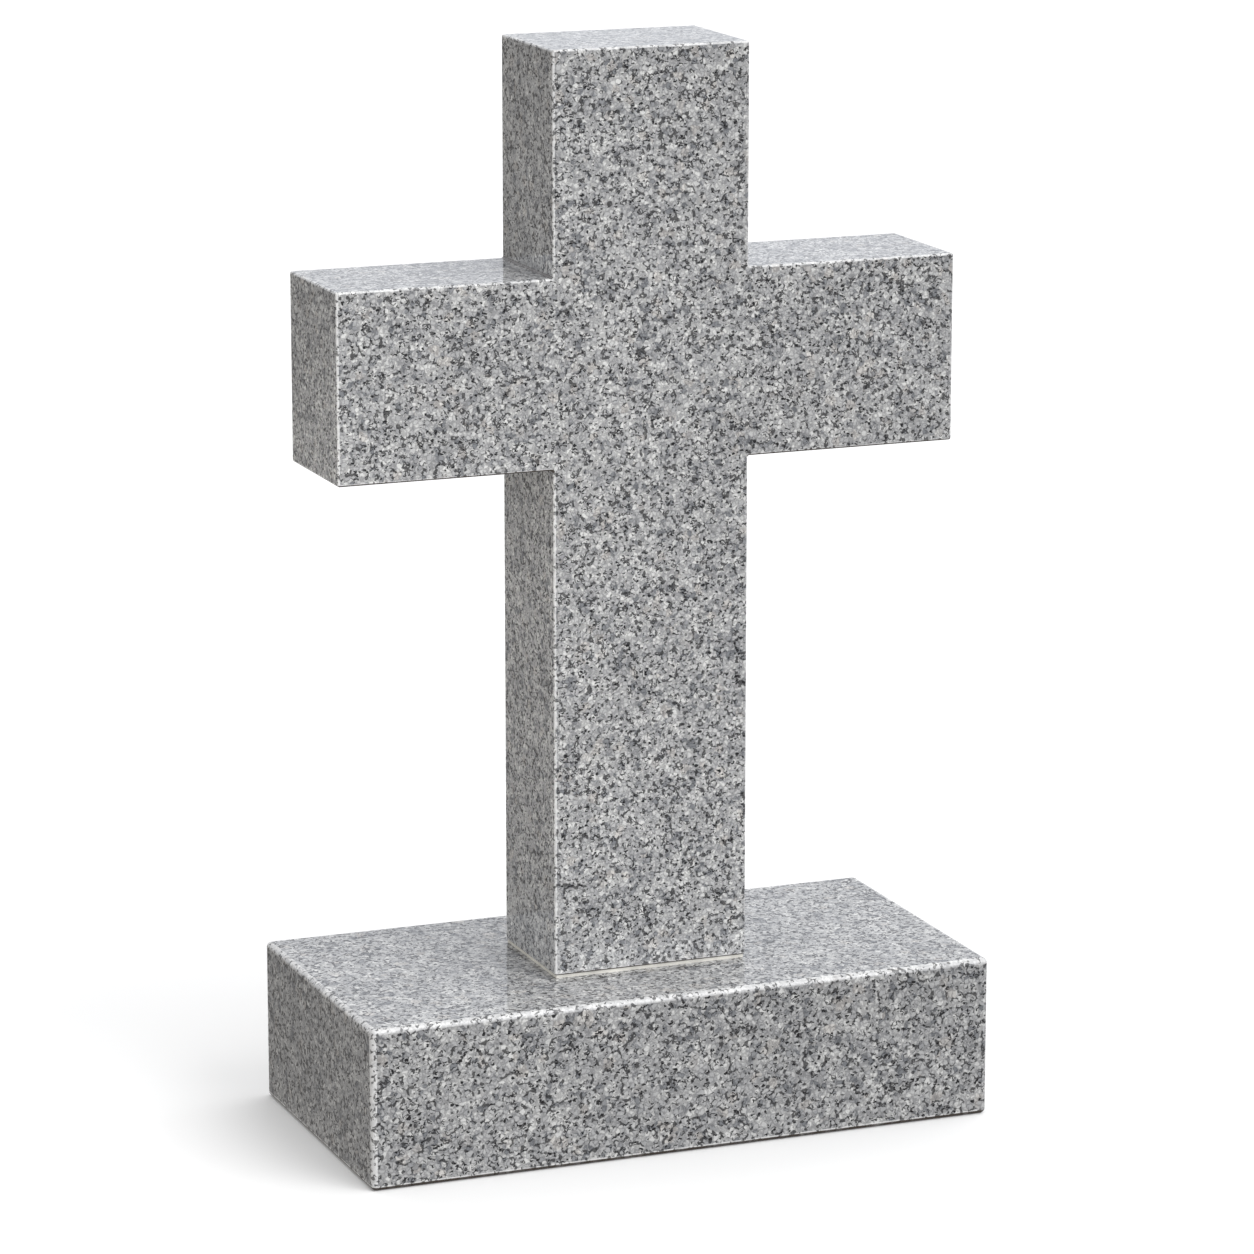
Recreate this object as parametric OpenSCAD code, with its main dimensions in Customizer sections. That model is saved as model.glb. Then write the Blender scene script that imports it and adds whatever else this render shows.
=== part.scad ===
// Cross headstone: a one-piece granite cross dowelled and bedded on a granite base.
// The origin is at the middle of the base's underside. The front faces -Y, and Z is up.
// All lengths are in millimetres.

/* [Base stone] */
// Width of the base stone, left to right
base_w = 610; // [320:1:1200]
// Depth of the base stone, front to back
base_d = 305; // [200:1:600]
// Height of the base stone
base_h = 152; // [110:1:400]
// Width of the eased edges on the base stone
base_arris = 3; // [1:0.5:8]

/* [Cross] */
// Height of the cross, from its foot to its head
cross_h = 855; // [700:1:1600]
// Width of the upright
post_w = 190; // [150:1:300]
// Thickness of the cross, front to back
cross_t = 130; // [60:1:190]
// Span of the arms, tip to tip
arm_span = 600; // [340:1:1000]
// Height of each arm, underside to top
arm_h = 175; // [80:1:220]
// Height of the arms' underside above the foot
arm_rise = 475; // [200:1:480]
// Width of the eased edges on the cross
cross_arris = 3; // [1:0.5:8]

/* [Setting bed] */
// Thickness of the setting compound between the stones
bed_t = 3; // [1:0.5:10]
// How far the compound stands back from the faces of the upright
bed_setback = 1.5; // [0:0.5:10]

/* [Dowels] */
// Diameter of each dowel
dowel_d = 12; // [6:1:20]
// Distance between the two dowels, centre to centre
dowel_pitch = 90; // [50:1:110]
// Depth of the dowel holes in the base stone
base_hole_depth = 75; // [40:1:90]
// Depth of the dowel holes in the foot of the cross
foot_hole_depth = 80; // [40:1:150]
// Room for resin round each dowel and above its end
resin_gap = 1; // [0.5:0.5:3]

/* [Hidden] */

foot_z = base_h + bed_t;
hole_d = dowel_d + 2 * resin_gap;
dowel_l = base_hole_depth + bed_t + foot_hole_depth - resin_gap;
hole_sides = 64;
// How far a cutter reaches past the face that it opens
past = 1;

granite = "lightgray";
compound = "linen";
steel = "silver";

// A rectangle with its corners cut, centred on x = 0 and standing on y = 0
module eased_outline(w, h, arris) {
    polygon([
        [-w / 2 + arris, 0],
        [w / 2 - arris, 0],
        [w / 2, arris],
        [w / 2, h - arris],
        [w / 2 - arris, h],
        [-w / 2 + arris, h],
        [-w / 2, h - arris],
        [-w / 2, arris],
    ]);
}

// A block of stone with eased edges, centred on x = 0 and y = 0 and standing on z = 0
module eased_block(w, d, h, arris) {
    intersection() {
        translate([0, d / 2, 0])
            rotate([90, 0, 0])
                linear_extrude(d) eased_outline(w, h, arris);
        translate([-w / 2, 0, 0])
            rotate([90, 0, 90])
                linear_extrude(w) eased_outline(d, h, arris);
        translate([0, -d / 2, 0])
            linear_extrude(h) eased_outline(w, d, arris);
    }
}

// Puts its children at both dowels, one each side of the middle
module at_dowels() {
    for (side = [-1, 1]) translate([side * dowel_pitch / 2, 0, 0]) children();
}

// The base stone, drilled from above for the dowels
module base() {
    color(granite)
        difference() {
            eased_block(base_w, base_d, base_h, base_arris);
            at_dowels()
                translate([0, 0, base_h - base_hole_depth])
                    cylinder(h = base_hole_depth + past, d = hole_d, $fn = hole_sides);
        }
}

// The thin bed of compound that the cross is set on
module setting_bed() {
    color(compound)
        difference() {
            translate([0, 0, base_h + bed_t / 2])
                cube([post_w - 2 * bed_setback, cross_t - 2 * bed_setback, bed_t], center = true);
            at_dowels()
                translate([0, 0, base_h - past])
                    cylinder(h = bed_t + 2 * past, d = hole_d, $fn = hole_sides);
        }
}

// A dowel that stands on the floor of its hole in the base stone
module dowel(side) {
    color(steel)
        translate([side * dowel_pitch / 2, 0, base_h - base_hole_depth])
            cylinder(h = dowel_l, d = dowel_d, $fn = hole_sides);
}

module dowel_left() {
    dowel(-1);
}

module dowel_right() {
    dowel(1);
}

// The cross, cut from one stone: the upright and the arms share their front and back faces
module cross() {
    color(granite)
        translate([0, 0, foot_z])
            difference() {
                union() {
                    eased_block(post_w, cross_t, cross_h, cross_arris);
                    translate([0, 0, arm_rise])
                        eased_block(arm_span, cross_t, arm_h, cross_arris);
                }
                at_dowels()
                    translate([0, 0, -past])
                        cylinder(h = foot_hole_depth + past, d = hole_d, $fn = hole_sides);
            }
}

base();
setting_bed();
dowel_left();
dowel_right();
cross();
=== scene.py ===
"""Looks of the cross headstone: polished granite stones on a bed of setting compound.

Everything is in metres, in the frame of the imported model: the origin is at the middle of the base
stone's underside, the front faces -Y and Z is up.
"""

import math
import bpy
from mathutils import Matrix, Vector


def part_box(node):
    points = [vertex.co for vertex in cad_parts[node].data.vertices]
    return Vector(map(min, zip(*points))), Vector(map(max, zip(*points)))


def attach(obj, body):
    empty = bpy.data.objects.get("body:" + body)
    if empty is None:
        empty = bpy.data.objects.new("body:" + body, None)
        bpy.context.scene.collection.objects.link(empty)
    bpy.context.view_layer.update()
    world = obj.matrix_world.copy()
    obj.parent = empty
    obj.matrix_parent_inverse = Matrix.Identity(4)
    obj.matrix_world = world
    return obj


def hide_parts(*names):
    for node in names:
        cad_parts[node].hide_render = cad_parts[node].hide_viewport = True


bl_info = {
    "name": "Cross Headstone",
    "version": (1, 0, 0),
    "blender": (4, 5, 0),
    "location": "3D View > Sidebar > Headstone",
    "description": "Builds a polished granite cross headstone and the studio it stands in",
    "category": "Add Mesh",
}

import bmesh
import bpy
from bpy.props import FloatProperty, FloatVectorProperty, IntProperty, PointerProperty
from mathutils import Matrix, Vector, noise

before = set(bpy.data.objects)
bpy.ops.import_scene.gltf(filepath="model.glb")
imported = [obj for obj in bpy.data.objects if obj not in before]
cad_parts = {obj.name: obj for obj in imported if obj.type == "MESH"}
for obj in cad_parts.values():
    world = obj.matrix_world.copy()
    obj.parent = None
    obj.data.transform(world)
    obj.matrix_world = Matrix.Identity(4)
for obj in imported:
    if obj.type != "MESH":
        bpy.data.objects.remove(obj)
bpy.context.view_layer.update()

BODY = "root"
GRANITE_SLOT = "granite"
COMPOUND_SLOT = "setting_compound"
# Names of the face attributes that tell a stone's finishes apart and that mark where highlight and
# shade are painted
ARRIS = "arris"
SAWN = "sawn"
PAINTED_SHADE_MARK = "painted_shade"
MM = 0.001
# Points closer than the first lie in one plane, and points closer than the second are one point
FLUSH = 1e-6
WELD = 1e-7
# Sides of the polygon that each dowel hole is cut as
HOLE_SIDES = 32


# ---------------------------------------------------------------------------------------------
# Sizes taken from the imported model


def cross_levels():
    """Half the upright's width, and the heights of the arms' underside and top."""
    points = [v.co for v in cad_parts["cross"].data.vertices]
    low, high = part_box("cross")
    head = max(p.x for p in points if p.z > high.z - MM)
    arms = [p.z for p in points if p.x > (head + high.x) / 2]
    post = max(p.x for p in points if p.z > max(arms) + MM)
    return post, min(arms), max(arms)


def dowel_spots():
    """(middle, radius, foot, end) of each dowel."""
    spots = []
    for name in ("dowel_left", "dowel_right"):
        low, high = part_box(name)
        spots.append(((low + high) / 2, (high.x - low.x) / 2, low.z, high.z))
    return spots


# ---------------------------------------------------------------------------------------------
# Settings


class HeadstoneStones(bpy.types.PropertyGroup):
    """Sizes and colours of the two stones."""

    arris_radius: FloatProperty(
        name="Arris radius",
        description="Radius of the rounded edges. The cross's are held down to the inner corners'",
        default=5 * MM,
        min=1 * MM,
        max=8 * MM,
        subtype="DISTANCE",
        unit="LENGTH",
    )
    inner_radius: FloatProperty(
        name="Inner corner radius",
        description="Radius that the saw leaves in the corners between upright and arms",
        default=2 * MM,
        min=0.5 * MM,
        max=8 * MM,
        subtype="DISTANCE",
        unit="LENGTH",
    )
    arris_segments: IntProperty(
        name="Arris segments",
        description="Faces across each rounded edge",
        default=6,
        min=2,
        max=16,
    )
    resin_gap: FloatProperty(
        name="Resin gap",
        description="Room round each dowel in its drilled hole",
        default=1 * MM,
        min=0.5 * MM,
        max=3 * MM,
        subtype="DISTANCE",
        unit="LENGTH",
    )
    feldspar: FloatVectorProperty(
        name="Feldspar",
        description="Colour of the light grey grains",
        subtype="COLOR",
        size=4,
        min=0,
        max=1,
        default=(0.462, 0.465, 0.472, 1),
    )
    feldspar_pale: FloatVectorProperty(
        name="Pale feldspar",
        description="Colour of the whitest grains",
        subtype="COLOR",
        size=4,
        min=0,
        max=1,
        default=(0.74, 0.74, 0.73, 1),
    )
    feldspar_warm: FloatVectorProperty(
        name="Warm feldspar",
        description="Colour of the few beige grains",
        subtype="COLOR",
        size=4,
        min=0,
        max=1,
        default=(0.58, 0.52, 0.46, 1),
    )
    quartz: FloatVectorProperty(
        name="Quartz",
        description="Colour of the smoky grey grains",
        subtype="COLOR",
        size=4,
        min=0,
        max=1,
        default=(0.215, 0.224, 0.24, 1),
    )
    mica: FloatVectorProperty(
        name="Mica",
        description="Colour of the black flecks",
        subtype="COLOR",
        size=4,
        min=0,
        max=1,
        default=(0.014, 0.014, 0.016, 1),
    )


class HeadstoneBed(bpy.types.PropertyGroup):
    """The line of setting compound between the stones."""

    spacing: FloatProperty(
        name="Spacing",
        description="Distance between the points that make the squeezed edge uneven",
        default=4 * MM,
        min=1 * MM,
        max=20 * MM,
        subtype="DISTANCE",
        unit="LENGTH",
    )
    unevenness: FloatProperty(
        name="Unevenness",
        description="How far the squeezed edge wanders in and out",
        default=0.6 * MM,
        min=0,
        max=1.4 * MM,
        subtype="DISTANCE",
        unit="LENGTH",
    )
    colour: FloatVectorProperty(
        name="Compound",
        description="Colour of the setting compound",
        subtype="COLOR",
        size=4,
        min=0,
        max=1,
        default=(0.78, 0.76, 0.7, 1),
    )


class HeadstoneStudio(bpy.types.PropertyGroup):
    """Camera, floor and lights."""

    camera_turn: FloatProperty(
        name="Camera turn",
        description="How far the camera stands round to the left of the front",
        default=math.radians(21.727),
        subtype="ANGLE",
        unit="ROTATION",
    )
    camera_tilt: FloatProperty(
        name="Camera tilt",
        description="How far the camera looks down",
        default=math.radians(13.115),
        subtype="ANGLE",
        unit="ROTATION",
    )
    camera_distance: FloatProperty(
        name="Camera distance",
        description="Distance from the camera to the point it looks at",
        default=4.948,
        subtype="DISTANCE",
        unit="LENGTH",
    )
    camera_aim: FloatVectorProperty(
        name="Camera aim",
        description="Point that the camera looks at",
        default=(0.002, 0, 0.463),
        subtype="TRANSLATION",
        unit="LENGTH",
    )
    camera_lens: FloatProperty(
        name="Lens",
        description="Focal length on a sensor 36 mm wide",
        default=153.31,
        subtype="DISTANCE_CAMERA",
        unit="CAMERA",
    )
    floor_size: FloatProperty(
        name="Floor size",
        description="Length of the floor's sides",
        default=60,
        subtype="DISTANCE",
        unit="LENGTH",
    )


# ---------------------------------------------------------------------------------------------
# Node helpers


def add_node(tree, kind, inputs=None, **values):
    """A shader node with its properties and unlinked inputs set. An input is a number, a colour
    or the output socket that feeds it."""
    made = tree.nodes.new("ShaderNode" + kind)
    for name, value in values.items():
        setattr(made, name, value)
    for name, value in (inputs or {}).items():
        if isinstance(value, bpy.types.NodeSocket):
            tree.links.new(value, made.inputs[name])
        else:
            made.inputs[name].default_value = value
    return made


def maths(tree, operation, *values):
    """The result of a Math node."""
    made = add_node(tree, "Math", dict(enumerate(values)), operation=operation)
    return made.outputs[0]


def vector_maths(tree, operation, *values):
    """The result of a Vector Math node."""
    made = add_node(tree, "VectorMath", dict(enumerate(values)), operation=operation)
    return made.outputs[0]


def ramp(tree, value, low, high, low_result=0.0, high_result=1.0, smooth=True):
    """value taken from the range low to high to low_result to high_result, and held there."""
    inputs = {
        "Value": value,
        "From Min": low,
        "From Max": high,
        "To Min": low_result,
        "To Max": high_result,
    }
    made = add_node(
        tree, "MapRange", inputs, interpolation_type="SMOOTHSTEP" if smooth else "LINEAR"
    )
    return made.outputs[0]


def mix(tree, share, first, second, blend="MIX"):
    """first and second mixed by share, as colours."""
    made = add_node(tree, "Mix", data_type="RGBA", blend_type=blend)
    names = {"Factor_Float": share, "A_Color": first, "B_Color": second}
    for socket in made.inputs:
        if socket.identifier in names:
            value = names[socket.identifier]
            if isinstance(value, bpy.types.NodeSocket):
                tree.links.new(value, socket)
            else:
                socket.default_value = value
    return next(o for o in made.outputs if o.identifier == "Result_Color")


def noise_at(tree, place, scale, detail=2.0, roughness=0.5, distortion=0.0):
    """A Noise node. scale counts its lumps to a metre."""
    inputs = {
        "Vector": place,
        "Scale": scale,
        "Detail": detail,
        "Roughness": roughness,
        "Distortion": distortion,
    }
    return add_node(tree, "TexNoise", inputs)


def cells_at(tree, place, scale, feature="F1"):
    """A Voronoi node. scale counts its cells to a metre."""
    inputs = {"Vector": place, "Scale": scale}
    return add_node(tree, "TexVoronoi", inputs, feature=feature)


def times(tree, value, factor):
    """value multiplied by factor."""
    return maths(tree, "MULTIPLY", value, factor)


def plus(tree, first, second):
    """first and second added."""
    return maths(tree, "ADD", first, second)


def mark(tree, name):
    """What a face attribute holds."""
    return add_node(tree, "Attribute", attribute_name=name).outputs["Fac"]


def split(tree, colour):
    """The three parts of a colour."""
    return add_node(tree, "SeparateColor", {"Color": colour}).outputs


def new_material(name):
    """An empty material and its node tree."""
    made = bpy.data.materials.new(name)
    made.use_nodes = True
    made.node_tree.nodes.clear()
    return made, made.node_tree


def finish_material(tree, **inputs):
    """Ends a material with a Principled shader that holds these inputs."""
    named = {name.replace("_", " "): value for name, value in inputs.items()}
    shader = add_node(tree, "BsdfPrincipled", named)
    add_node(tree, "OutputMaterial", {"Surface": shader.outputs[0]})
    return shader


# ---------------------------------------------------------------------------------------------
# Granite


# Grains to a metre, in the two sizes that lie over each other
LARGE_GRAINS = 128.0
SMALL_GRAINS = 250.0
# The turn of each set of mica blades and their number to a metre
BLADE_SETS = (
    ((0.3, 0.9, 0.2), 200.0),
    ((1.2, -0.5, 0.9), 230.0),
    ((-0.8, 0.4, 1.9), 270.0),
)
# How many times wider than thick a blade is
BLADE_FLATNESS = 2.0
# Pale colour of honed and sawn faces, which on the edges is also a painted highlight
PALE_FINISH_AND_HIGHLIGHT = (0.86, 0.86, 0.86, 1)
# Dark brown of the painted shade under the edges and in the inner corners
PAINTED_SHADE_COLOUR = (0.07, 0.055, 0.045, 1)


def ragged_place(tree, place):
    """place stirred a little, so that the grain boundaries come out ragged."""
    stir = noise_at(tree, place, 300.0, detail=1.0).outputs["Color"]
    stir = vector_maths(tree, "SUBTRACT", stir, (0.5, 0.5, 0.5))
    stir = add_node(tree, "VectorMath", {0: stir, "Scale": 5 * MM}, operation="SCALE").outputs[0]
    return vector_maths(tree, "ADD", place, stir)


def light_grains(tree, place, look):
    """The colour of the feldspar and quartz grains."""
    large = split(tree, cells_at(tree, place, LARGE_GRAINS).outputs["Color"])
    small = split(tree, cells_at(tree, place, SMALL_GRAINS).outputs["Color"])
    tone = plus(tree, times(tree, large[0], 0.45), times(tree, small[0], 0.55))
    pale = mix(tree, ramp(tree, tone, 0.35, 0.95), look.feldspar, look.feldspar_pale)
    warm = times(tree, ramp(tree, large[1], 0.93, 0.97), 0.3)
    pale = mix(tree, warm, pale, look.feldspar_warm)
    smoky = ramp(tree, tone, 0.1, 0.34, 1.0, 0.0)
    return mix(tree, smoky, pale, look.quartz)


def boundaries(tree, place, scale, width, where=1.0):
    """Lines between grains. width is a share of a grain, and where holds the share that shows."""
    edge = cells_at(tree, place, scale, feature="DISTANCE_TO_EDGE").outputs["Distance"]
    line = ramp(tree, edge, width * 0.5, width, 1.0, 0.0)
    return times(tree, line, where)


def dark_threads(tree, place, ragged, clusters):
    """Where mica runs in short threads along the grain boundaries."""
    broken = noise_at(tree, place, 270.0, detail=0.0).outputs["Fac"]
    broken = plus(tree, broken, times(tree, clusters, 0.2))
    broken = ramp(tree, broken, 0.665, 0.73)
    coarse = boundaries(tree, ragged, LARGE_GRAINS, 0.115, broken)
    fine = boundaries(tree, ragged, SMALL_GRAINS, 0.15, broken)
    return maths(tree, "MAXIMUM", coarse, fine)


def mica_flecks(tree, place, clusters):
    """Where the black flecks lie: short blades that point every way, thickest in the clusters."""
    threshold = ramp(tree, clusters, 0.35, 0.65, 0.93, 0.86)
    found = None
    for turn, scale in BLADE_SETS:
        inputs = {"Vector": place, "Rotation": turn, "Scale": (1.0, 1.0, BLADE_FLATNESS)}
        turned = add_node(tree, "Mapping", inputs).outputs[0]
        cells = cells_at(tree, turned, scale)
        chosen = split(tree, cells.outputs["Color"])[0]
        chosen = maths(tree, "GREATER_THAN", chosen, threshold)
        body = ramp(tree, cells.outputs["Distance"], 0.3, 0.42, 1.0, 0.0)
        blade = times(tree, chosen, body)
        found = blade if found is None else maths(tree, "MAXIMUM", found, blade)
    return found


def granite(name, turn, shift, brightness=1.0, fineness=1.0):
    """Polished light grey granite. turn and shift give each stone a grain of its own."""
    look = bpy.context.scene.headstone_stones
    made, tree = new_material(name)
    inside = add_node(tree, "TexCoord").outputs["Object"]
    inputs = {"Vector": inside, "Rotation": turn, "Location": shift, "Scale": [fineness] * 3}
    place = add_node(tree, "Mapping", inputs).outputs[0]
    ragged = ragged_place(tree, place)
    clusters = noise_at(tree, place, 90.0, detail=1.0).outputs["Fac"]

    colour = light_grains(tree, ragged, look)
    seam = boundaries(tree, ragged, SMALL_GRAINS, 0.2)
    colour = mix(tree, times(tree, seam, 0.35), colour, look.mica)
    threads = dark_threads(tree, place, ragged, clusters)
    colour = mix(tree, times(tree, threads, 0.8), colour, look.mica)
    flecks = mica_flecks(tree, ragged, clusters)
    colour = mix(tree, times(tree, flecks, 0.97), colour, look.mica)

    # Slow light and dark clouds through the block, and a fine mottle in every grain
    clouds = noise_at(tree, place, 7.0, detail=3.0, distortion=0.6).outputs["Fac"]
    clouds = ramp(tree, clouds, 0.3, 0.7, 0.97, 1.04)
    mottle = noise_at(tree, place, 900.0, detail=2.0).outputs["Fac"]
    # brightness darkens the whole stone; on the base it is painted shade
    shade = ramp(tree, mottle, 0.3, 0.7, 0.92 * brightness, 1.06 * brightness)
    shade = times(tree, clouds, shade)
    shade = add_node(tree, "CombineColor", {0: shade, 1: shade, 2: shade}).outputs[0]
    colour = mix(tree, 1.0, colour, shade, "MULTIPLY")

    # Eased edges are honed and the underside is sawn, so they are paler and duller. On the edges the
    # paleness is also a painted highlight: full on edges that face left, front or back, less on those
    # that face up, least on those that face right
    wear = ramp(tree, noise_at(tree, place, 140.0).outputs["Fac"], 0.3, 0.5, 0.5, 1.0)
    honed_and_highlight = times(tree, mark(tree, ARRIS), wear)
    dull_and_highlight = maths(tree, "MAXIMUM", honed_and_highlight, mark(tree, SAWN))
    dark = maths(tree, "MAXIMUM", flecks, threads)
    bare = maths(tree, "SUBTRACT", 0.72, times(tree, dark, 0.6))
    colour = mix(tree, times(tree, dull_and_highlight, bare), colour, PALE_FINISH_AND_HIGHLIGHT)

    # Painted shade: dark brown laid along the downward-facing edges and in the inner corners, where
    # shadow falls
    painted_shade = times(tree, mark(tree, PAINTED_SHADE_MARK), ramp(tree, clusters, 0.3, 0.6, 0.6, 0.95))
    colour = mix(tree, painted_shade, colour, PAINTED_SHADE_COLOUR)

    polish = ramp(tree, mottle, 0.3, 0.7, 0.02, 0.05)
    polish = plus(tree, polish, times(tree, flecks, 0.1))
    roughness = plus(tree, polish, times(tree, dull_and_highlight, 0.3))

    # Flecks lie a little low in the polish, and the dull faces are grainy
    graininess = plus(tree, times(tree, dull_and_highlight, 3.0), 0.2)
    relief = plus(tree, times(tree, flecks, -0.6), times(tree, mottle, graininess))
    bump = add_node(tree, "Bump", {"Strength": 0.1, "Distance": 0.1 * MM, "Height": relief})
    finish_material(
        tree,
        Base_Color=colour,
        Roughness=roughness,
        IOR=1.54,
        Normal=bump.outputs[0],
    )
    return made


def setting_compound():
    """Off-white compound, matt and slightly sandy."""
    look = bpy.context.scene.headstone_bed
    made, tree = new_material("setting_compound")
    place = add_node(tree, "TexCoord").outputs["Object"]
    sand = noise_at(tree, place, 1400.0, detail=3.0).outputs["Fac"]
    stains = noise_at(tree, place, 45.0, detail=3.0).outputs["Fac"]
    dark = [0.62 * part for part in look.colour[:3]] + [1]
    colour = mix(tree, ramp(tree, stains, 0.35, 0.75, 0.0, 0.6), look.colour, dark)
    colour = mix(tree, ramp(tree, sand, 0.3, 0.7, 0.0, 0.3), colour, dark)
    bump = add_node(tree, "Bump", {"Strength": 0.5, "Distance": 0.0003, "Height": sand})
    finish_material(
        tree,
        Base_Color=colour,
        Roughness=ramp(tree, sand, 0.3, 0.7, 0.7, 0.9),
        Normal=bump.outputs[0],
    )
    return made


def stainless_steel():
    """Plain drawn bar, with fine lines along it."""
    made, tree = new_material("stainless_bar")
    place = add_node(tree, "TexCoord").outputs["Object"]
    along = add_node(tree, "Mapping", {"Vector": place, "Scale": (1.0, 1.0, 0.02)}).outputs[0]
    lines = noise_at(tree, along, 2600.0, detail=3.0).outputs["Fac"]
    colour = mix(tree, lines, (0.45, 0.45, 0.46, 1), (0.66, 0.66, 0.67, 1))
    bump = add_node(tree, "Bump", {"Strength": 0.2, "Distance": 0.0001, "Height": lines})
    finish_material(
        tree,
        Base_Color=colour,
        Metallic=1.0,
        Roughness=ramp(tree, lines, 0.3, 0.7, 0.28, 0.42),
        Normal=bump.outputs[0],
    )
    return made


# ---------------------------------------------------------------------------------------------
# Mesh helpers


def add_piece(name, bm, material, slot, *nodes):
    """Makes bm an object that rides on the stone's body and stands for these nodes."""
    mesh = bpy.data.meshes.new(name)
    bm.to_mesh(mesh)
    bm.free()
    mesh.materials.append(material)
    piece = bpy.data.objects.new(name, mesh)
    bpy.context.scene.collection.objects.link(piece)
    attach(piece, BODY)
    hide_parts(*nodes)
    return piece


def bevel_edges(bm, edges, radius, segments):
    """Rounds the edges. A radius that its neighbours leave no room for is held down."""
    bmesh.ops.bevel(
        bm,
        geom=edges,
        offset=radius,
        offset_type="OFFSET",
        affect="EDGES",
        segments=segments,
        profile=0.5,
        clamp_overlap=True,
        material=-1,
    )


def flat_faces(bm, axis, level):
    """Faces that lie in the plane where that axis is at that level."""
    return [f for f in bm.faces if all(abs(v.co[axis] - level) < FLUSH for v in f.verts)]


def open_window(bm, level, middle, half):
    """Cuts a square window in the horizontal faces at that level. Returns its edges."""
    for axis in (0, 1):
        for side in (-1, 1):
            faces = flat_faces(bm, 2, level)
            geom = faces + list({e for f in faces for e in f.edges})
            geom += list({v for f in faces for v in f.verts})
            point = Vector(middle)
            point[axis] += side * half
            normal = Vector((0, 0, 0))
            normal[axis] = 1
            bmesh.ops.bisect_plane(bm, geom=geom, dist=WELD, plane_co=point, plane_no=normal)
    inside = []
    for face in flat_faces(bm, 2, level):
        offset = face.calc_center_median() - Vector(middle)
        if max(abs(offset.x), abs(offset.y)) < half:
            inside.append(face)
    rim = [e for f in inside for e in f.edges if sum(g in inside for g in e.link_faces) == 1]
    bmesh.ops.delete(bm, geom=inside, context="FACES")
    return rim


def add_ring(bm, middle, radius, level):
    """The rim of a dowel hole at that level."""
    place = Matrix.Translation((middle.x, middle.y, level))
    made = bmesh.ops.create_circle(bm, segments=HOLE_SIDES, radius=radius, matrix=place)
    return list({e for v in made["verts"] for e in v.link_edges})


# Half the side of the window that is cut round a dowel hole, in radii of the hole
WINDOW_SHARE = 1.6


def drill(bm, level, middle, radius, depth):
    """Drills a blind hole from the horizontal face at that level. depth is negative downwards.

    Known fault: in the base stone the faces between window and hole cross the mouth, and those of
    the hole are inside out. The bed hides them. In the cross they are right.
    """
    rim = open_window(bm, level, middle, radius * WINDOW_SHARE)
    ring = add_ring(bm, middle, radius, level)
    bmesh.ops.bridge_loops(bm, edges=rim + ring)
    made = bmesh.ops.extrude_edge_only(bm, edges=ring)["geom"]
    ends = [g for g in made if isinstance(g, bmesh.types.BMVert)]
    bmesh.ops.translate(bm, verts=ends, vec=(0, 0, depth))
    floor = [e for e in made if isinstance(e, bmesh.types.BMEdge) and all(v in ends for v in e.verts)]
    bmesh.ops.edgeloop_fill(bm, edges=floor)


# Faces that meet at less than this run smoothly into each other
ROUNDED = math.radians(35)
# A face counts as flat when its normal lies this nearly along an axis
ALONG_AXIS = 0.9999
# How pale an edge looks, as honed finish and as painted highlight, that faces up, that faces right,
# and that faces any other way
HONED_HIGHLIGHT_UP = 0.55
HONED_HIGHLIGHT_RIGHT = 0.2
HONED_HIGHLIGHT_ELSEWHERE = 1.0


def finish_stone(bm, sawn_level, corners=(), corner_radius=0.0):
    """Sets the normals, the smoothing and the attributes that the granite reads.

    corners are the (x, z) of the inner corners, which get painted shade.
    """
    bmesh.ops.remove_doubles(bm, verts=bm.verts, dist=WELD)
    bmesh.ops.recalc_face_normals(bm, faces=bm.faces)
    arris = bm.faces.layers.float.new(ARRIS)
    painted_shade = bm.faces.layers.float.new(PAINTED_SHADE_MARK)
    sawn = bm.faces.layers.float.new(SAWN)
    for edge in bm.edges:
        edge.smooth = edge.calc_face_angle(0) < ROUNDED
    for face in bm.faces:
        face.smooth = True
        way = face.normal
        middle = face.calc_center_median()
        if max(abs(part) for part in way) > ALONG_AXIS:
            face[sawn] = float(abs(middle.z - sawn_level) < FLUSH)
            continue
        near = [math.hypot(middle.x - x, middle.z - z) < 1.5 * corner_radius for x, z in corners]
        # Faces that look down, and those in the inner corners, get painted shade
        if way.z < -0.15 or (any(near) and abs(way.y) < 0.01):
            face[painted_shade] = 1.0
        elif way.z > 0.05:
            face[arris] = HONED_HIGHLIGHT_UP
        elif way.x > 0.05:
            face[arris] = HONED_HIGHLIGHT_RIGHT
        else:
            face[arris] = HONED_HIGHLIGHT_ELSEWHERE


def weigh_normals(piece):
    """Keeps the flat faces flat where they run into the rounded edges."""
    made = piece.modifiers.new("flat_faces", "WEIGHTED_NORMAL")
    made.mode = "FACE_AREA"
    made.weight = 100
    made.keep_sharp = True


# ---------------------------------------------------------------------------------------------
# Operators

# Material, turn and shift of each stone's grain, and the base's brightness and fineness. The base's
# brightness below 1 is painted shade, darkening it as if less light reached it than the cross
BASE_GRAIN = ("granite_base", (0.4, 0.2, 1.1), (3.1, 1.7, 0.4), 0.89, 0.86)
CROSS_GRAIN = ("granite_cross", (0.0, 0.0, 0.0), (0.0, 0.0, 0.0))
# Faces across the rounding of each inner corner
INNER_SEGMENTS = 4


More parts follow.
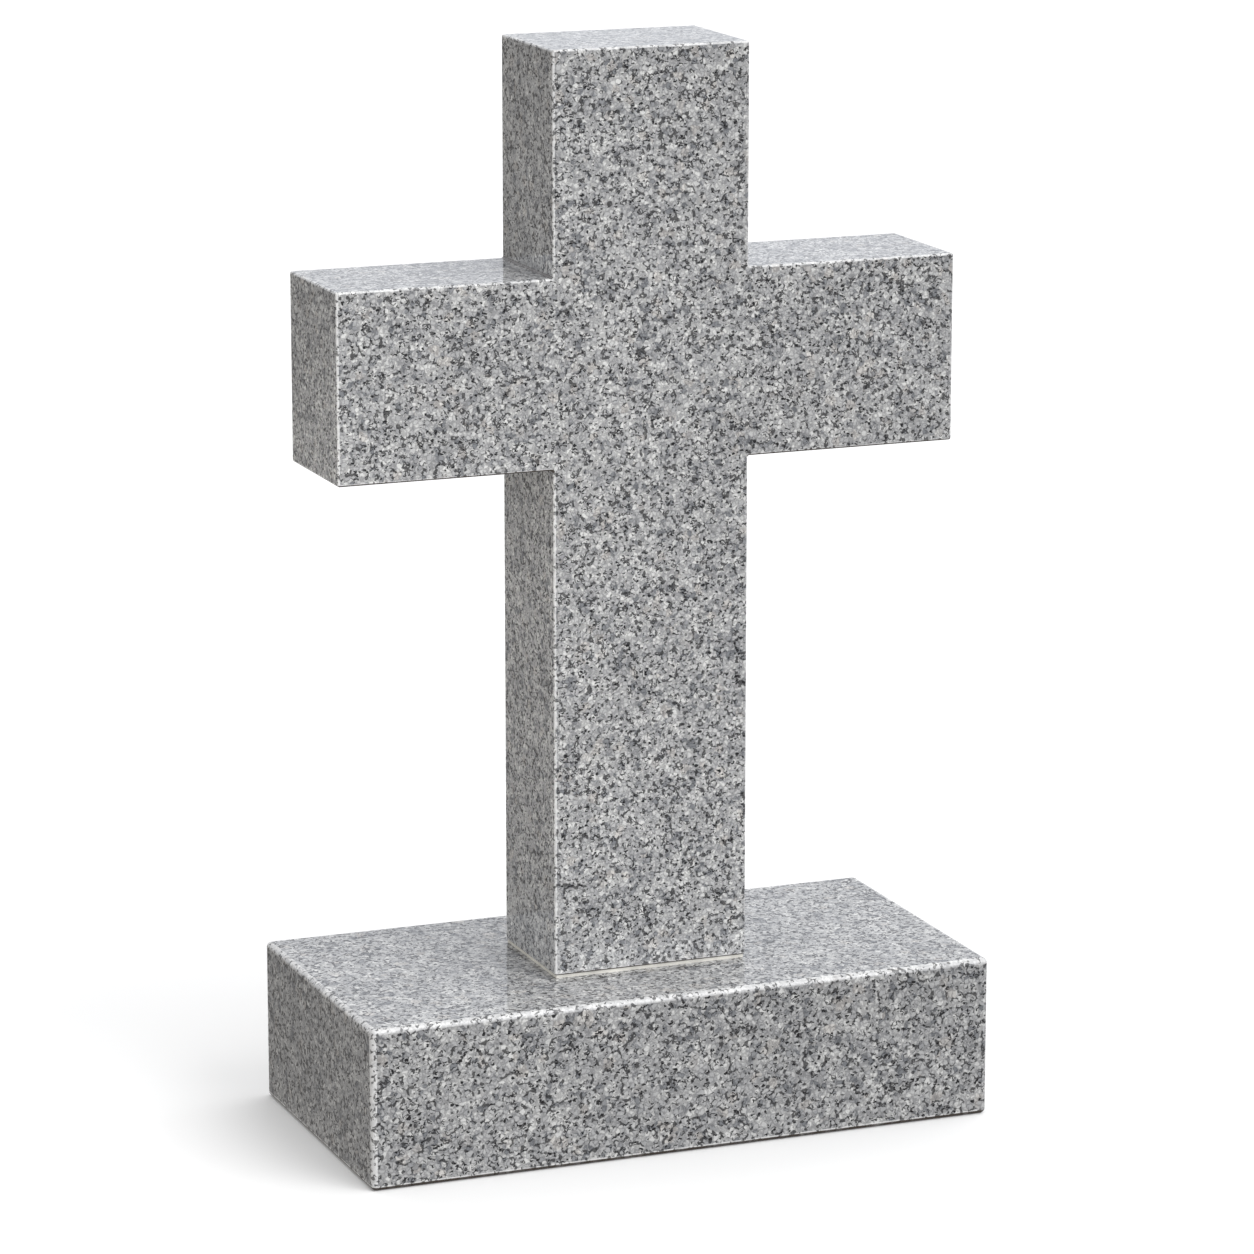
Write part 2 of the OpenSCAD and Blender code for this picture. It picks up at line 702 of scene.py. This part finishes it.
class HEADSTONE_OT_base(bpy.types.Operator):
    """Build the base stone"""

    bl_idname = "headstone.base"
    bl_label = "Base Stone"

    def execute(self, context):
        look = context.scene.headstone_stones
        low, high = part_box("base")
        bm = bmesh.new()
        bmesh.ops.create_cube(bm, size=1.0)
        bmesh.ops.scale(bm, vec=high - low, verts=bm.verts)
        bmesh.ops.translate(bm, vec=(low + high) / 2, verts=bm.verts)
        bevel_edges(bm, bm.edges[:], look.arris_radius, look.arris_segments)
        for middle, radius, foot, end in dowel_spots():
            drill(bm, high.z, middle, radius + look.resin_gap, foot - high.z)
        finish_stone(bm, low.z)
        made = granite(*BASE_GRAIN)
        weigh_normals(add_piece("base_stone", bm, made, GRANITE_SLOT, "base"))
        return {"FINISHED"}


class HEADSTONE_OT_cross(bpy.types.Operator):
    """Build the cross as one stone"""

    bl_idname = "headstone.cross"
    bl_label = "Cross"

    def execute(self, context):
        look = context.scene.headstone_stones
        low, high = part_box("cross")
        post, under, over = cross_levels()
        right = [
            (post, low.z),
            (post, under),
            (high.x, under),
            (high.x, over),
            (post, over),
            (post, high.z),
        ]
        profile = right + [(-x, z) for x, z in reversed(right)]
        bm = bmesh.new()
        front = bm.faces.new([bm.verts.new((x, low.y, z)) for x, z in profile])
        block = bmesh.ops.extrude_face_region(bm, geom=[front])["geom"]
        back = [g for g in block if isinstance(g, bmesh.types.BMVert)]
        bmesh.ops.translate(bm, vec=(0, high.y - low.y, 0), verts=back)
        bmesh.ops.recalc_face_normals(bm, faces=bm.faces)
        inner = [e for e in bm.edges if e.calc_face_angle_signed() < 0]
        bevel_edges(bm, inner, look.inner_radius, INNER_SEGMENTS)
        outer = [e for e in bm.edges if e.calc_face_angle() > math.radians(60)]
        bevel_edges(bm, outer, look.arris_radius, look.arris_segments)
        for middle, radius, foot, end in dowel_spots():
            drill(bm, low.z, middle, radius + look.resin_gap, end + look.resin_gap - low.z)
        corners = [(x, z) for x in (-post, post) for z in (under, over)]
        finish_stone(bm, low.z, corners, look.inner_radius)
        made = granite(*CROSS_GRAIN)
        weigh_normals(add_piece("cross_stone", bm, made, GRANITE_SLOT, "cross"))
        return {"FINISHED"}


def outline(look, low, high):
    """(x, y) of the points round the bed, in order."""
    across = max(1, round((high.x - low.x) / look.spacing))
    deep = max(1, round((high.y - low.y) / look.spacing))
    front = [(low.x + (high.x - low.x) * step / across, low.y) for step in range(across)]
    right = [(high.x, low.y + (high.y - low.y) * step / deep) for step in range(deep)]
    turned = [(low.x + high.x - x, low.y + high.y - y) for x, y in front + right]
    return front + right + turned


# Length of the long and of the short waves in the squeezed edge, and how strong the short are
LONG_WAVE = 9 * MM
SHORT_WAVE = 2.5 * MM
SHORT_SHARE = 0.4


def uneven(look, low, high, x, y, z):
    """A point of the bed's edge, moved in or out the way squeezed compound wanders."""
    place = Vector((x, y, z))
    waves = noise.noise(place / LONG_WAVE) + SHORT_SHARE * noise.noise(place / SHORT_WAVE)
    wander = look.unevenness * waves
    moved = place.copy()
    for axis in (0, 1):
        for edge, out in ((low[axis], -1), (high[axis], 1)):
            if abs(place[axis] - edge) < FLUSH:
                moved[axis] += out * wander
    return moved


def add_wall(bm, rows):
    """A closed band of faces through rows of points that run round in the same order."""
    made = [[bm.verts.new(point) for point in row] for row in rows]
    for below, above in zip(made, made[1:]):
        for step in range(len(below)):
            bm.faces.new((below[step - 1], below[step], above[step], above[step - 1]))


class HEADSTONE_OT_bed(bpy.types.Operator):
    """Build the bed of setting compound, with a hole for each dowel"""

    bl_idname = "headstone.bed"
    bl_label = "Setting Bed"

    def execute(self, context):
        look = context.scene.headstone_bed
        gap = context.scene.headstone_stones.resin_gap
        low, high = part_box("setting_bed")
        levels = [low.z + (high.z - low.z) * step / 3 for step in range(4)]
        bm = bmesh.new()
        edge = outline(look, low, high)
        add_wall(bm, [[uneven(look, low, high, x, y, z) for x, y in edge] for z in levels])
        for middle, radius, foot, end in dowel_spots():
            turns = [math.tau * step / HOLE_SIDES for step in range(HOLE_SIDES)]
            wide = radius + gap
            spots = [(middle.x + wide * math.cos(t), middle.y + wide * math.sin(t)) for t in turns]
            add_wall(bm, [[(x, y, z) for x, y in spots] for z in (low.z, high.z)])
        for level in (low.z, high.z):
            flat = [e for e in bm.edges if all(abs(v.co.z - level) < FLUSH for v in e.verts)]
            bmesh.ops.triangle_fill(bm, edges=flat, use_beauty=True)
        bmesh.ops.recalc_face_normals(bm, faces=bm.faces)
        for face in bm.faces:
            face.smooth = True
        for edge in bm.edges:
            edge.smooth = edge.calc_face_angle(0) < math.radians(50)
        add_piece("compound_bed", bm, setting_compound(), COMPOUND_SLOT, "setting_bed")
        return {"FINISHED"}


class HEADSTONE_OT_dowels(bpy.types.Operator):
    """Finish the dowels"""

    bl_idname = "headstone.dowels"
    bl_label = "Dowels"

    def execute(self, context):
        steel = stainless_steel()
        for name in ("dowel_left", "dowel_right"):
            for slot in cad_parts[name].material_slots:
                slot.material = steel
        return {"FINISHED"}


# (name, where it shines from, strength, width in the sky)
SKIES = (
    ("sky", (0.42, 0.1, 0.86), 1.95, math.radians(100)),
    ("key", (2.0, -3.3, 2.8), 1.54, math.radians(45)),
)
# (name, place, what it faces, width and height, watts, colour, spread of its beam)
SOFTBOXES = (
    (
        "edge_strip",
        (-1.5, -1.0, 0.7),
        (0, 0, 0.5),
        (0.3, 1.1),
        8.8,
        (1, 0.985, 0.96),
        math.radians(180),
    ),
    (
        "left_fill",
        (-1.0, -0.15, 0.5),
        (-0.095, 0, 0.5),
        (0.25, 0.25),
        0.11,
        (1, 0.97, 0.93),
        math.radians(42),
    ),
)
SENSOR_WIDTH = 36
WALL_LIGHT = (0.8, 0.825, 0.88, 1)
CEILING_LIGHT = (0.6, 0.6, 0.6, 1)
# What is left of the light on the left side
LEFT_DIM = (0.52, 0.5, 0.47, 1)


class HEADSTONE_OT_stage(bpy.types.Operator):
    """Set up the camera, the floor and the lights"""

    bl_idname = "headstone.stage"
    bl_label = "Studio"

    def execute(self, context):
        look = context.scene.headstone_studio
        add_camera(context.scene, look)
        add_floor(look)
        add_world(context.scene)
        for sky in SKIES:
            add_sky(*sky)
        for softbox in SOFTBOXES:
            add_softbox(*softbox)
        context.scene.view_settings.view_transform = "Standard"
        return {"FINISHED"}


def add_camera(scene, look):
    """A camera that looks at the aim from the set distance and angles."""
    turn, tilt = look.camera_turn, look.camera_tilt
    ahead = Vector((math.sin(turn) * math.cos(tilt), math.cos(turn) * math.cos(tilt), -math.sin(tilt)))
    data = bpy.data.cameras.new("camera")
    data.lens = look.camera_lens
    data.sensor_width = SENSOR_WIDTH
    camera = bpy.data.objects.new("camera", data)
    camera.location = Vector(look.camera_aim) - look.camera_distance * ahead
    camera.rotation_euler = (math.pi / 2 - tilt, 0, -turn)
    scene.collection.objects.link(camera)
    scene.camera = camera


def add_floor(look):
    """A white floor that carries the shadows but sends no light back up at the stones."""
    bm = bmesh.new()
    bmesh.ops.create_grid(bm, x_segments=1, y_segments=1, size=look.floor_size / 2)
    mesh = bpy.data.meshes.new("floor")
    bm.to_mesh(mesh)
    bm.free()
    made, tree = new_material("floor")
    finish_material(
        tree,
        Base_Color=(0.77, 0.77, 0.77, 1),
        Roughness=0.9,
        Specular_IOR_Level=0.0,
        Emission_Color=(1, 1, 1, 1),
        Emission_Strength=0.035,
    )
    mesh.materials.append(made)
    floor = bpy.data.objects.new("floor", mesh)
    floor.visible_diffuse = False
    floor.visible_glossy = False
    bpy.context.scene.collection.objects.link(floor)


def add_world(scene):
    """White walls near the horizon, a dimmer ceiling, a warm grey floor and a dim warm left side."""
    world = bpy.data.worlds.new("studio")
    world.use_nodes = True
    tree = world.node_tree
    tree.nodes.clear()
    way = add_node(tree, "TexCoord").outputs["Generated"]
    parts = add_node(tree, "SeparateXYZ", {0: way}).outputs
    share = ramp(tree, parts["Z"], -1.0, 1.0, smooth=False)
    bands = add_node(tree, "ValToRGB", {"Fac": share})
    stops = bands.color_ramp.elements
    stops[0].position, stops[0].color = 0.0, (0.22, 0.21, 0.2, 1)
    stops[1].position, stops[1].color = 1.0, CEILING_LIGHT
    for position, colour in (
        (0.49, (0.3, 0.29, 0.28, 1)),
        (0.5, WALL_LIGHT),
        (0.68, WALL_LIGHT),
        (0.8, CEILING_LIGHT),
    ):
        stop = stops.new(position)
        stop.color = colour
    left = ramp(tree, parts["X"], -0.85, -0.3, 1.0, 0.0)
    colour = mix(tree, left, bands.outputs[0], LEFT_DIM, "MULTIPLY")
    background = add_node(tree, "Background", {"Color": colour, "Strength": 1.0})
    add_node(tree, "OutputWorld", {"Surface": background.outputs[0]})
    scene.world = world


def add_sky(name, place, power, spread):
    """A very broad, very distant lamp that lights everything from one side."""
    data = bpy.data.lights.new(name, "SUN")
    data.energy = power
    data.angle = spread
    light = bpy.data.objects.new(name, data)
    light.rotation_euler = Vector(place).to_track_quat("Z", "Y").to_euler()
    bpy.context.scene.collection.objects.link(light)


def add_softbox(name, place, aim, size, power, colour, spread):
    """A rectangular lamp that faces the aim."""
    data = bpy.data.lights.new(name, "AREA")
    data.shape = "RECTANGLE"
    data.size, data.size_y = size
    data.energy = power
    data.color = colour
    data.spread = spread
    light = bpy.data.objects.new(name, data)
    light.location = place
    light.rotation_euler = (Vector(aim) - Vector(place)).to_track_quat("-Z", "Y").to_euler()
    bpy.context.scene.collection.objects.link(light)


class HEADSTONE_PT_panel(bpy.types.Panel):
    """Lists the builders and their settings"""

    bl_idname = "HEADSTONE_PT_panel"
    bl_label = "Cross Headstone"
    bl_space_type = "VIEW_3D"
    bl_region_type = "UI"
    bl_category = "Headstone"

    def draw(self, context):
        layout = self.layout
        for group, operators in PANEL_ROWS:
            box = layout.box()
            held = getattr(context.scene, group)
            for name in held.bl_rna.properties.keys():
                if name not in ("rna_type", "name"):
                    box.prop(held, name)
            for operator in operators:
                box.operator(operator.bl_idname)


PANEL_ROWS = (
    ("headstone_stones", (HEADSTONE_OT_base, HEADSTONE_OT_cross, HEADSTONE_OT_dowels)),
    ("headstone_bed", (HEADSTONE_OT_bed,)),
    ("headstone_studio", (HEADSTONE_OT_stage,)),
)
GROUPS = {
    "headstone_stones": HeadstoneStones,
    "headstone_bed": HeadstoneBed,
    "headstone_studio": HeadstoneStudio,
}
OPERATORS = (
    HEADSTONE_OT_base,
    HEADSTONE_OT_bed,
    HEADSTONE_OT_dowels,
    HEADSTONE_OT_cross,
    HEADSTONE_OT_stage,
)


def register():
    for group in GROUPS.values():
        bpy.utils.register_class(group)
    for operator in OPERATORS:
        bpy.utils.register_class(operator)
    bpy.utils.register_class(HEADSTONE_PT_panel)
    for name, group in GROUPS.items():
        setattr(bpy.types.Scene, name, PointerProperty(type=group))


def unregister():
    for name in GROUPS:
        delattr(bpy.types.Scene, name)
    bpy.utils.unregister_class(HEADSTONE_PT_panel)
    for operator in reversed(OPERATORS):
        bpy.utils.unregister_class(operator)
    for group in reversed(tuple(GROUPS.values())):
        bpy.utils.unregister_class(group)


def main():
    register()
    bpy.ops.headstone.base()
    bpy.ops.headstone.bed()
    bpy.ops.headstone.dowels()
    bpy.ops.headstone.cross()
    bpy.ops.headstone.stage()


if __name__ == "__main__":
    main()
